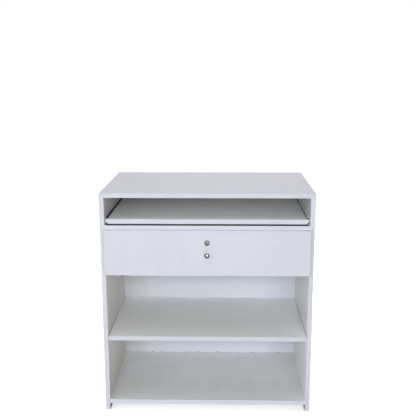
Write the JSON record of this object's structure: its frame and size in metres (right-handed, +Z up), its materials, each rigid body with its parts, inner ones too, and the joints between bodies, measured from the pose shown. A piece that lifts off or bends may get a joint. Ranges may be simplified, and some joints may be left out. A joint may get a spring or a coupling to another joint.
{
  "type": "shop counter",
  "caption": "White board shop counter with a pull-out shelf on ball-bearing slides, a drawer with a cam lock and a round knob, and open shelf bays below, all on the shopkeeper's side.",
  "frame": {"origin": "on the floor, midway between the ends and halfway from the knob's face to the rear edge", "axes": "-Y points to the shopkeeper, whose side is open, +X to the right as the shopkeeper faces the open side, and +Z up"},
  "size_m": [0.83, 0.592, 0.9],
  "materials": {
    "melamine_board": "chipboard faced with white melamine, satin with a fine even texture",
    "edging_strip": "white plastic edging strip, satin, rounded at its corners",
    "white_hardboard": "thin hardboard with a white lacquered face",
    "beech": "plain turned beech",
    "white_cap": "white moulded plastic",
    "dark_plastic": "dark grey moulded plastic",
    "bright_plating": "satin bright plating",
    "plug_plating": "bright plating, slightly duller than the housing",
    "polished_ball": "polished hard steel",
    "cage_steel": "bright thin steel strip",
    "screw_steel": "zinc plated steel",
    "zinc_sheet": "rolled steel sheet, zinc plated, dull",
    "zinc_fitting": "zinc die casting, dull"
  },
  "bodies": {
    "carcass": {"top_panel": "melamine_board", "left_side": "melamine_board", "right_side": "melamine_board", "back_panel": "melamine_board", "divider_shelf": "melamine_board", "middle_shelf": "melamine_board", "bottom_shelf": "melamine_board", "top_edging": "edging_strip", "side_edging": "edging_strip", "shelf_edging": "edging_strip", "panel_dowels": "beech", "joint_cams": "zinc_fitting", "joint_bolts": "zinc_fitting", "cam_caps": "white_cap", "shelf_pins": "screw_steel", "carcass_screws": "screw_steel", "slide_bumpers": "dark_plastic", "lock_strike": "zinc_fitting", "tray_slide_left_outer": "zinc_sheet", "tray_slide_right_outer": "zinc_sheet", "drawer_slide_left_outer": "zinc_sheet", "drawer_slide_right_outer": "zinc_sheet"},
    "pull_out_shelf": {"tray_board": "melamine_board", "tray_edging": "edging_strip", "tray_slide_left_inner": "zinc_sheet", "tray_slide_right_inner": "zinc_sheet", "tray_screws": "screw_steel", "tray_slide_levers": "dark_plastic"},
    "shelf_slide_middles": {"tray_slide_left_middle": "zinc_sheet", "tray_slide_right_middle": "zinc_sheet"},
    "shelf_slide_outer_cages": {"tray_outer_cages": "cage_steel", "tray_outer_balls": "polished_ball"},
    "shelf_slide_inner_cages": {"tray_inner_cages": "cage_steel", "tray_inner_balls": "polished_ball"},
    "drawer": {"drawer_front": "melamine_board", "drawer_front_edging": "edging_strip", "drawer_box_left": "melamine_board", "drawer_box_right": "melamine_board", "drawer_box_front": "melamine_board", "drawer_box_back": "melamine_board", "drawer_bottom": "white_hardboard", "drawer_box_screws": "screw_steel", "drawer_slide_left_inner": "zinc_sheet", "drawer_slide_right_inner": "zinc_sheet", "drawer_screws": "screw_steel", "drawer_slide_levers": "dark_plastic", "knob": "bright_plating", "knob_screw": "screw_steel", "lock_housing": "bright_plating", "lock_nut": "zinc_fitting"},
    "drawer_slide_middles": {"drawer_slide_left_middle": "zinc_sheet", "drawer_slide_right_middle": "zinc_sheet"},
    "drawer_slide_outer_cages": {"drawer_outer_cages": "cage_steel", "drawer_outer_balls": "polished_ball"},
    "drawer_slide_inner_cages": {"drawer_inner_cages": "cage_steel", "drawer_inner_balls": "polished_ball"},
    "lock_plug": {"lock_plug": "plug_plating", "lock_cam": "zinc_fitting", "lock_cam_screw": "screw_steel"}
  },
  "joints": [
    {"name": "pull_out_shelf_slide", "type": "slide", "parent": "carcass", "child": "pull_out_shelf", "axis": [0, -1, 0], "range_m": [0, 0.43]},
    {"name": "shelf_slide_middles", "type": "slide", "parent": "carcass", "child": "shelf_slide_middles", "axis": [0, -1, 0], "range_m": [0, 0.215]},
    {"name": "shelf_slide_outer_cages", "type": "slide", "parent": "carcass", "child": "shelf_slide_outer_cages", "axis": [0, -1, 0], "range_m": [0, 0.1075]},
    {"name": "shelf_slide_inner_cages", "type": "slide", "parent": "carcass", "child": "shelf_slide_inner_cages", "axis": [0, -1, 0], "range_m": [0, 0.3225]},
    {"name": "drawer_slide", "type": "slide", "parent": "carcass", "child": "drawer", "axis": [0, -1, 0], "range_m": [0, 0.43]},
    {"name": "drawer_slide_middles", "type": "slide", "parent": "carcass", "child": "drawer_slide_middles", "axis": [0, -1, 0], "range_m": [0, 0.215]},
    {"name": "drawer_slide_outer_cages", "type": "slide", "parent": "carcass", "child": "drawer_slide_outer_cages", "axis": [0, -1, 0], "range_m": [0, 0.1075]},
    {"name": "drawer_slide_inner_cages", "type": "slide", "parent": "carcass", "child": "drawer_slide_inner_cages", "axis": [0, -1, 0], "range_m": [0, 0.3225]},
    {"name": "lock_turn", "type": "hinge", "parent": "drawer", "child": "lock_plug", "pos_m": [0, -0.274, 0.7105], "axis": [0, 1, 0], "range_deg": [0, 90]}
  ],
  "couplings": [
    {"joint": "shelf_slide_middles", "follows": "pull_out_shelf_slide", "ratio": 0.5},
    {"joint": "shelf_slide_outer_cages", "follows": "pull_out_shelf_slide", "ratio": 0.25},
    {"joint": "shelf_slide_inner_cages", "follows": "pull_out_shelf_slide", "ratio": 0.75},
    {"joint": "drawer_slide_middles", "follows": "drawer_slide", "ratio": 0.5},
    {"joint": "drawer_slide_outer_cages", "follows": "drawer_slide", "ratio": 0.25},
    {"joint": "drawer_slide_inner_cages", "follows": "drawer_slide", "ratio": 0.75}
  ]
}
